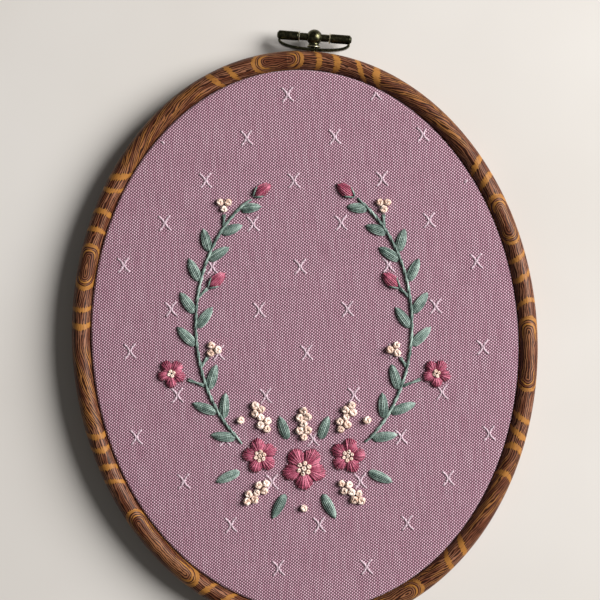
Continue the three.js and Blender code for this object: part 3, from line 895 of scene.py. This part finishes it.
# %% Buds and the sepals that hold them
BUD_STRANDS = 7
BUD_RISE = 1.05
BUD_THREAD = 0.26
SEPAL_STEPS = 6
SEPAL_THREAD = 0.27


def bud(thread, start, heading, length):
    for i in range(BUD_STRANDS):
        share = 2 * i / (BUD_STRANDS - 1) - 1
        first = 0.01 + 0.1 * abs(share) ** 1.5
        last = 0.98 - 0.12 * abs(share) - random.uniform(0, 0.03)
        places = []
        for k in range(ALONG_STEPS + 1):
            t = first + (last - first) * k / ALONG_STEPS
            v = 2 * t - 1
            half = math.sqrt(max(0, 1 - v * v)) * (1 - BUD_TAPER * v) * BUD_WIDTH / 2
            places.append(stepped(stepped(start, heading, t * length), heading + 90, share * half * 0.84))
        stitch(thread, places, BUD_RISE - 0.5 * share**2 + random.uniform(-0.05, 0.05), BUD_THREAD)


def sepals(thread, start, heading, length):
    for hand in (-1, 1):
        places = []
        for k in range(SEPAL_STEPS + 1):
            t = k / SEPAL_STEPS
            spot = stepped(start, heading, -0.5 + 0.52 * length * t)
            spread = 0.15 + 1.25 * math.sin(math.pi * 0.5 * t) ** 1.3
            places.append(stepped(spot, heading + 90, hand * spread))
        stitch(thread, places, LEAF_RISE, SEPAL_THREAD)


print("strands in a bud:", BUD_STRANDS)

# %% Stems and stalks
STEM_STITCHES = 30
STEM_STEPS = 8
STEM_RISE = 0.45
STEM_THREAD = 0.3
STALK_STEPS = 7
STALK_RISE = 0.42
STALK_THREAD = 0.29


def stem(thread, hand):
    for i in range(STEM_STITCHES):
        begin = i / (STEM_STITCHES + 1)
        end = (i + 2) / (STEM_STITCHES + 1)
        places = []
        for k in range(STEM_STEPS + 1):
            t = k / STEM_STEPS
            spot, heading = stem_point(hand, begin + (end - begin) * t)
            places.append(stepped(spot, heading + 90, 0.3 * (1 - 2 * t)))
        stitch(thread, places, STEM_RISE, STEM_THREAD)


def stalk(thread, start, end, heading):
    for hand in (-1, 1):
        places = []
        for k in range(STALK_STEPS + 1):
            t = k / STALK_STEPS
            spot = (start[0] + (end[0] - start[0]) * t, start[1] + (end[1] - start[1]) * t)
            places.append(stepped(spot, heading + 90, hand * 0.24 * math.cos(math.pi * t)))
        stitch(thread, places, STALK_RISE, STALK_THREAD)


print("stitches in a stem:", STEM_STITCHES)

# %% French knots
KNOT_TURNS = 1.9
PLY_TURNS = 3.5


def french_knot(thread, x, y, radius, lift=0.0, steps=34):
    """Two plies wound round the needle: a coil that rises, leans and dives into its own middle."""
    radius *= random.uniform(0.9, 1.06)
    ply = 0.26 * radius
    beside = 0.16 * radius
    squash = random.uniform(0, 0.16)
    squash_way, begin, lean = (math.radians(random.uniform(0, 360)) for _ in range(3))
    for hand in (0, math.pi):
        points = []
        for k in range(steps):
            t = k / (steps - 1)
            way = begin + 2 * math.pi * KNOT_TURNS * t
            wind = hand + 2 * math.pi * PLY_TURNS * t
            coil = (radius - ply - beside) * (1 - 0.24 * t) * (1 - squash * math.cos(way - squash_way) ** 2)
            coil += beside * math.cos(wind)
            rise = lift + (ply + beside) * (0.7 + 1.25 * t) + beside * math.sin(wind)
            rise += 0.12 * radius * t * math.cos(way - lean)
            points.append((x + coil * math.cos(way), y + coil * math.sin(way), rise))
        last_x, last_y, top = points[-1]
        for share in (0.35, 0.7, 0.9):
            sunk = top * (1 - share**2)
            points.append((last_x + (x - last_x) * share, last_y + (y - last_y) * share, sunk))
        points = [(*points[0][:2], lift - DIP)] + points
        lay_thread(thread, [drawn(*point) for point in points], ply, 0.85)


print("width of a knot in mm:", 2 * KNOT)

# %% Blossoms
PETAL_HALF_TURN = 33
PETAL_STRANDS_EACH_MM = 2.2
PETAL_STEPS = 10
CENTRE_LIFT = 0.55


def petal_stitches(thread, spot, turn_of_blossom, radius):
    strands = round(PETAL_STRANDS_EACH_MM * radius)
    start = 0.14 * radius
    for petal in range(PETALS):
        axis = turn_of_blossom + 360 / PETALS * petal
        for i in range(strands):
            share = 2 * i / (strands - 1) - 1
            angle = share * PETAL_HALF_TURN
            lobe = abs(math.cos(math.radians(angle) * PETALS / 2)) ** 0.7
            reach = radius * (WAIST + (1 - WAIST) * lobe) * random.uniform(0.95, 1.0)
            places = []
            for k in range(PETAL_STEPS + 1):
                t = k / PETAL_STEPS
                bow = angle * (0.78 + 0.22 * t)
                places.append(stepped(spot, axis + bow, start + (reach - start) * t))
            rise = 0.42 + 0.42 * lobe + 0.1 * (i % 2) + random.uniform(-0.04, 0.04)
            stitch(thread, places, rise, 0.2 + 0.016 * radius, 0.5)


def centre_knots(thread, spot, radius):
    large = radius > 4
    size = 0.13 * radius if large else 0.15 * radius
    lay = [(0, 0)] if large else []
    around = 6 if large else 4
    for i in range(around):
        lay.append(stepped((0, 0), 360 / around * i + 20, radius * CENTRE_REACH * (0.78 if large else 0.55)))
    for x, y in lay:
        french_knot(thread, spot[0] + x, spot[1] + y, size, CENTRE_LIFT, 20)


print("petals of a blossom:", PETALS)

# %% [markdown]
# ## Stitch the wreath
# Each node of the wreath is one thread object: both stems with all their leaves, then blossoms, buds,
# leaves and knots. The thread object takes the node's name and replaces it.


# %% Stitch a node and settle it
def stitched(node, slot, material, *steps):
    thread = new_thread(f"stitched_{node}")
    for function, *values in steps:
        function(thread, *values)
    return settle(thread_to_mesh(thread), node, material)


def blossom(name, spot, turn_of_blossom, radius):
    stitched(f"{name}_petals", "rose_thread", ROSE, (petal_stitches, spot, turn_of_blossom, radius))
    stitched(f"{name}_centre", "cream_thread", CREAM, (centre_knots, spot, radius))


def knot_steps(places):
    return [(french_knot, x, y, KNOT) for x, y in places]


print("knots of a spray:", len(knot_steps(SPRAY_KNOTS)))

# %% Stems with what they carry
for hand, word in ((-1, "left"), (1, "right")):
    green_steps = [(stem, hand)]
    for along_stem, side_of_stem, length in STEM_LEAVES:
        start, heading = stem_point(hand, along_stem)
        green_steps.append((leaf, start, heading - hand * side_of_stem * LEAF_SPREAD, length))
    for name, along_stem, side_of_stem, spread, length, ends_in, size in STALKS:
        start, heading = stem_point(hand, along_stem)
        heading -= hand * side_of_stem * spread
        end = stepped(start, heading, length)
        if spread:
            green_steps.append((stalk, start, end, heading))
        if ends_in == "blossom":
            spot = stepped(end, heading, size * 0.95 + NODE_GAP)
            blossom(f"{name}_{word}", spot, heading + 180 / PETALS, size)
        elif ends_in == "bud":
            base = stepped(end, heading, NODE_GAP)
            green_steps.append((sepals, base, heading, size))
            stitched(f"{name}_{word}", "rose_thread", ROSE, (bud, base, heading, size))
        else:
            spot = stepped(end, heading, size * 1.7 + NODE_GAP)
            trio = [stepped(spot, heading + a, size * 0.98) for a in (60, 180, 300)]
            stitched(f"{name}_{word}", "cream_thread", CREAM, *knot_steps(trio))
    stitched(f"sprig_{word}", "green_thread", GREEN, *green_steps)

# %% The foot of the wreath
for name, (degrees, radius) in FOOT_BLOSSOMS.items():
    blossom(f"foot_blossom_{name}", wreath_point(1, degrees)[0], degrees - 90, radius)
for name, x, y, heading, length in both_hands(FOOT_LEAVES):
    stitched(f"leaf_{name}", "green_thread", GREEN, (leaf, (x, y), heading, length))
for name, x, y, heading in both_hands(KNOT_SPRAYS):
    places = []
    for along_spray, across_spray in SPRAY_KNOTS:
        beside = stepped((x, y), heading + 90, across_spray * KNOT)
        places.append(stepped(beside, heading, along_spray * KNOT))
    stitched(f"spray_{name}", "cream_thread", CREAM, *knot_steps(places))
for name, x, y, heading in both_hands(SINGLE_KNOTS):
    stitched(f"knot_{name}", "cream_thread", CREAM, *knot_steps([(x, y)]))
bpy.data.objects.remove(SECTION)

# %% [markdown]
# ## The hanger
# A small cast hanger in dark antique bronze: a post with a ball, a bar through it with a knurled
# barrel at each end, and a bowed strap against the ring. The pieces are turned or bent metal, so
# cylinders and spheres are the right start, and bevels and grooves make them metal.

# %% Where the hanger sits
HANGER_TURN = math.radians(6.2)
seat_x, seat_y = oval_point(HANGER_TURN, RING_OUT)
out_x, out_y = oval_point(HANGER_TURN, RING_OUT + MM)
OUTWARDS = math.atan2(out_y - seat_y, out_x - seat_x) - math.pi / 2
post_low, post_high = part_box("hanger_post")
HANGER_Z = (post_low.z + post_high.z) / 2
BAR_Y = 3.75 * MM
BARREL_RADIUS = 1.15
BARREL_END = 9.1
FIT_GAP = 0.02
print("hanger height above the surface in mm:", round(HANGER_Z / MM, 2))


def to_hanger(obj):
    """Turns and moves a piece made round the hanger's own origin to its seat on the ring."""
    select_only(obj)
    obj.rotation_euler = (0, 0, OUTWARDS)
    obj.location = (seat_x, seat_y, HANGER_Z)
    bpy.ops.object.transform_apply(location=True, rotation=True, scale=True)


# %% Antique bronze
bronze, tree, shader = new_material("antique_bronze", Metallic=1.0)
place = own_place(tree)
patina = noise(tree, place, 1500, 4, 0.6)
bronze_tones = [(0.35, linear(52, 54, 40)), (0.58, linear(84, 82, 60)), (0.78, linear(140, 130, 96))]
colour = ramp(tree, patina, *bronze_tones)
# Bright brass where the patina is rubbed, and painted highlights on the post's foot and the barrels' collars.
colour = blend_colours(tree, stored(tree, "worn_and_highlight"), colour, linear(222, 216, 186))
tree.links.new(colour, shader.inputs["Base Color"])
rough = sums(tree, "MULTIPLY_ADD", noise(tree, place, 2600, 2), 0.25, 0.18)
tree.links.new(rough, shader.inputs["Roughness"])
bump(tree, shader, noise(tree, place, 4000, 2), 0.02 * MM, 0.4)
print("bronze ready")


# %% Turn the post
def turned(name, profile, steps=48):
    """A turning about +Y from (radius, way) pairs whose ends lie on the axis."""
    places = [(radius * MM, way * MM, 0) for radius, way in profile]
    obj = spun(name, places, steps, (0, 1, 0), open_ended=True)
    bpy.ops.object.shade_smooth_by_angle(angle=math.radians(40))
    return obj


def paint_wear_and_highlight(obj, values):
    """Stores how far each vertex is painted bright brass: rubbed-off patina and painted highlights."""
    obj.data.attributes.new("worn_and_highlight", "FLOAT", "POINT").data.foreach_set("value", values)


BALL = 2.0
bar_way = BAR_Y / MM
ball_turns = [math.radians(degrees) for degrees in range(-50, 90, 7)]
ball_arc = [(BALL * math.cos(a), bar_way + BALL * math.sin(a)) for a in ball_turns]
post_profile = [(0, -2), (0.55, -2), (0.6, -1.95), (0.6, 1.15), (1.5, 1.15), (1.72, 1.25), (1.68, 1.44),
                (1.42, 1.7), (1.3, 1.95), (1.27, 2.15)] + ball_arc + [(0, bar_way + BALL)]
post = turned("hanger_post_turned", post_profile)
# Painted highlight: the rim of the post's foot is painted bright brass.
paint_wear_and_highlight(post, [0.8 * (math.hypot(v.co.x, v.co.z) > 1.55 * MM and v.co.y < 1.5 * MM) for v in post.data.vertices])
to_hanger(post)
settle(post, "hanger_post", bronze)


# %% Turn and knurl the barrels
KNURLS = 26
KNURL_FROM = 4.3
KNURL_TO = 8.8
KNURL_DEPTH = 0.1


def barrel(name, node, side_of_post):
    hug = BALL + FIT_GAP
    profile = [(radius, math.sqrt(hug**2 - radius**2)) for radius in (0, 0.4, 0.75, 0.95)]
    profile += [(0.95, 3.55), (0.8, 3.62), (0.8, 3.7), (1.24, 3.72), (1.3, 3.78), (1.3, 3.94), (1.24, 4.0),
                (1.02, 4.02), (1.02, 4.12), (1.1, 4.2), (BARREL_RADIUS, KNURL_FROM), (BARREL_RADIUS, KNURL_TO),
                (1.1, 8.95), (1.0, 9.06), (0.8, BARREL_END), (0.78, 9.25), (0.6, 9.38), (0, 9.42)]
    obj = turned(name, profile, 2 * KNURLS)
    # The barrels' collars are painted bright brass: rubbed bronze, and a painted highlight.
    paint_wear_and_highlight(obj, [0.9 * (math.hypot(v.co.x, v.co.z) > 1.22 * MM) for v in obj.data.vertices])
    for vertex in obj.data.vertices:
        x, y, z = vertex.co / MM
        reach = math.hypot(x, z)
        groove = round(math.atan2(z, x) / math.pi * KNURLS) % 2
        if groove and KNURL_FROM - 0.05 < y < KNURL_TO + 0.1 and reach > 1:
            vertex.co.x *= 1 - KNURL_DEPTH
            vertex.co.z *= 1 - KNURL_DEPTH
    select_only(obj)
    obj.rotation_euler = (0, 0, -side_of_post * math.pi / 2)
    obj.location = (0, BAR_Y, 0)
    bpy.ops.object.transform_apply(location=True, rotation=True, scale=True)
    to_hanger(obj)
    settle(obj, node, bronze)


for word, side_of_post in (("left", -1), ("right", 1)):
    barrel(f"hanger_barrel_{word}_knurled", f"hanger_barrel_{word}", side_of_post)

# %% Bend the strap's centre line
STRAP_THICK = 0.65
STRAP_WIDTH = 2.2
STRAP_TOP = BAR_Y / MM - BARREL_RADIUS - FIT_GAP
STRAP_OFF_RING = 0.3
STRAP_BOW = 0.4
STRAP_STEPS = 16


def bezier(points, t):
    a, b, c, d = (np.array(p) for p in points)
    return (1 - t) ** 3 * a + 3 * t * (1 - t) ** 2 * b + 3 * t * t * (1 - t) * c + t**3 * d


select_only()
bpy.ops.mesh.primitive_plane_add(size=1)
strap = bpy.context.object
strap.name = "hanger_strap_bent"
bpy.ops.object.mode_set(mode="EDIT")
bpy.ops.mesh.select_all(action="SELECT")
bpy.ops.mesh.delete(type="VERT")
bpy.ops.object.mode_set(mode="OBJECT")
centre_line = []
for k in range(-STRAP_STEPS, STRAP_STEPS + 1):
    end = BARREL_END - STRAP_THICK / 2
    low = STRAP_OFF_RING + STRAP_THICK / 2
    route = [(0, low), (end / 2, low), (end, low + STRAP_BOW), (end, STRAP_TOP)]
    x, y = bezier(route, abs(k) / STRAP_STEPS)
    centre_line.append((math.copysign(x, k) * MM, y * MM, -STRAP_WIDTH / 2 * MM))
line_edges = [(i, i + 1) for i in range(len(centre_line) - 1)]
strap.data.from_pydata(centre_line, line_edges, [])
print("points of the strap's line:", len(centre_line))

# %% Give the strap its width and thickness
select_only(strap)
bpy.ops.object.mode_set(mode="EDIT")
bpy.ops.mesh.select_all(action="SELECT")
bpy.ops.mesh.extrude_region_move(TRANSFORM_OT_translate={"value": (0, 0, STRAP_WIDTH * MM)})
bpy.ops.mesh.select_all(action="SELECT")
bpy.ops.mesh.normals_make_consistent(inside=False)
bpy.ops.object.mode_set(mode="OBJECT")
solidify = strap.modifiers.new("thickness", "SOLIDIFY")
solidify.thickness = STRAP_THICK * MM
solidify.offset = 0
edge_bevel = strap.modifiers.new("edges", "BEVEL")
edge_bevel.width = 0.12 * MM
edge_bevel.segments = 2
for modifier in ("thickness", "edges"):
    bpy.ops.object.modifier_apply(modifier=modifier)
close_mesh(strap)
bpy.ops.object.shade_smooth_by_angle(angle=math.radians(40))
paint_wear_and_highlight(strap, [0.0] * len(strap.data.vertices))
to_hanger(strap)
settle(strap, "hanger_strap", bronze)

# %% [markdown]
# ## Floor, light and camera
# The hoop lies on a plain pale floor. A big soft light stands to its right and a little above, as a
# window would, and a weak one fills the other side. The camera looks straight down. It is turned a
# little, as the picture that the hoop is matched to was taken, and the picture cuts off the hoop's foot.

# %% Lay the floor
select_only()
bpy.ops.mesh.primitive_plane_add(size=4)
floor = bpy.context.object
floor.name = "floor"
floor_material, tree, shader = new_material("pale_floor", Roughness=0.9)
place = own_place(tree)
tree.links.new(
    ramp(tree, noise(tree, place, 12, 3), (0.3, linear(198, 194, 188)), (0.7, linear(206, 203, 198))),
    shader.inputs["Base Color"],
)
floor.data.materials.append(floor_material)
print("floor in m:", round(floor.dimensions.x), "by", round(floor.dimensions.y))


# %% Set the lights
def soft_light(name, place_mm, size_mm, watts, colour):
    data = bpy.data.lights.new(name, "AREA")
    data.shape = "DISK"
    data.size = size_mm * MM
    data.energy = watts
    data.color = colour
    light = bpy.data.objects.new(name, data)
    light.location = Vector(place_mm) * MM
    light.rotation_euler = (-light.location).to_track_quat("-Z", "Y").to_euler()
    bpy.context.scene.collection.objects.link(light)


soft_light("window", (1000, 250, 720), 900, 35.8, (1.0, 0.98, 0.97))
soft_light("fill", (-500, -300, 700), 700, 0.2, (1.0, 0.97, 0.93))
world = bpy.data.worlds.new("studio")
world.use_nodes = True
world.node_tree.nodes["Background"].inputs["Color"].default_value = (1.0, 0.97, 0.93, 1)
world.node_tree.nodes["Background"].inputs["Strength"].default_value = 0.08
bpy.context.scene.world = world
bpy.context.scene.view_settings.view_transform = "Standard"

# %% Aim the camera
CAMERA_HEIGHT = 450 * MM
PICTURE_WIDTH = 150 * MM
PICTURE_TURN = math.radians(-3.42)
PICTURE_CENTRE = (-0.6 * MM, 10.1 * MM)
camera_data = bpy.data.cameras.new("camera")
camera_data.sensor_width = 36
camera_data.lens = camera_data.sensor_width * CAMERA_HEIGHT / PICTURE_WIDTH
camera_data.clip_start = 0.01
camera = bpy.data.objects.new("camera", camera_data)
camera.location = (CENTRE.x + PICTURE_CENTRE[0], CENTRE.y + PICTURE_CENTRE[1], FACE + CAMERA_HEIGHT)
camera.rotation_euler = (0, 0, PICTURE_TURN)
bpy.context.scene.collection.objects.link(camera)
bpy.context.scene.camera = camera
print("lens in mm:", round(camera_data.lens, 1))
